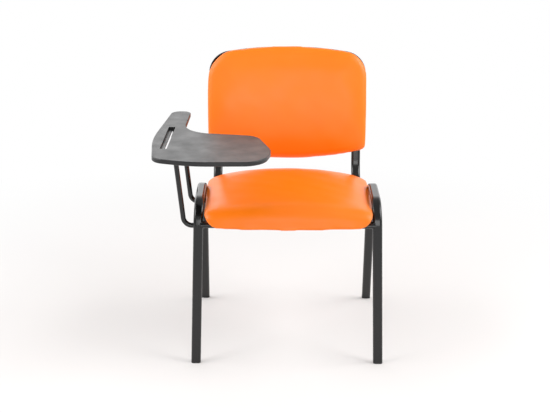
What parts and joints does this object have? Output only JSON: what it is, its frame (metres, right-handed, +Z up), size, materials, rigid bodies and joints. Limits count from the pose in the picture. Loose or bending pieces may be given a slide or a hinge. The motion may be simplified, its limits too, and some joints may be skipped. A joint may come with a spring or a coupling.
{
  "type": "stacking chair with writing tablet",
  "caption": "Stacking visitor chair: padded seat and back on a bent oval-tube frame, with a writing tablet beside the sitter that folds up and out.",
  "frame": {"origin": "middle of the footprint box, on the floor, at rest", "axes": "+Z up, +Y towards the back, +X to the sitter's left; the tablet is at -X"},
  "size_m": [0.6312, 0.7046, 0.8154],
  "materials": {
    "frame_black": "satin powder coat",
    "plug_black": "moulded",
    "shell_black": "fine grained",
    "plywood": "raw plywood",
    "foam": "open-cell foam",
    "orange_leatherette": "smooth leatherette",
    "zinc_steel": "zinc plated",
    "rubber_black": "moulded",
    "tablet_black": "fine grained gloss"
  },
  "bodies": {
    "chair": {"side_frame_left": "frame_black", "side_frame_right": "frame_black", "front_crossbar": "frame_black", "rear_crossbar": "frame_black", "seat_rail_left": "frame_black", "seat_rail_right": "frame_black", "rail_plug_left": "plug_black", "rail_plug_right": "plug_black", "foot_front_left": "plug_black", "foot_front_right": "plug_black", "foot_rear_left": "plug_black", "foot_rear_right": "plug_black", "seat_pan": "shell_black", "seat_board": "plywood", "seat_foam": "foam", "seat_cover": "orange_leatherette", "seat_bolts": "zinc_steel", "seat_washers": "zinc_steel", "seat_nuts": "zinc_steel", "back_board": "plywood", "back_foam": "foam", "back_cover": "orange_leatherette", "back_shell": "shell_black", "back_bolts": "zinc_steel", "back_nuts": "zinc_steel", "tablet_tube": "frame_black", "tablet_stop_arm": "frame_black", "tablet_buffer": "rubber_black"},
    "tablet": {"tablet_board": "tablet_black", "tablet_saddle_front": "zinc_steel", "tablet_saddle_rear": "zinc_steel", "tablet_screws": "zinc_steel"}
  },
  "joints": [
    {"name": "tablet_fold", "type": "hinge", "parent": "chair", "child": "tablet", "pos_m": [-0.26936, -0.07368, 0.64068], "axis": [-0.0262, -0.9997, 0], "range_deg": [0, 95]}
  ]
}
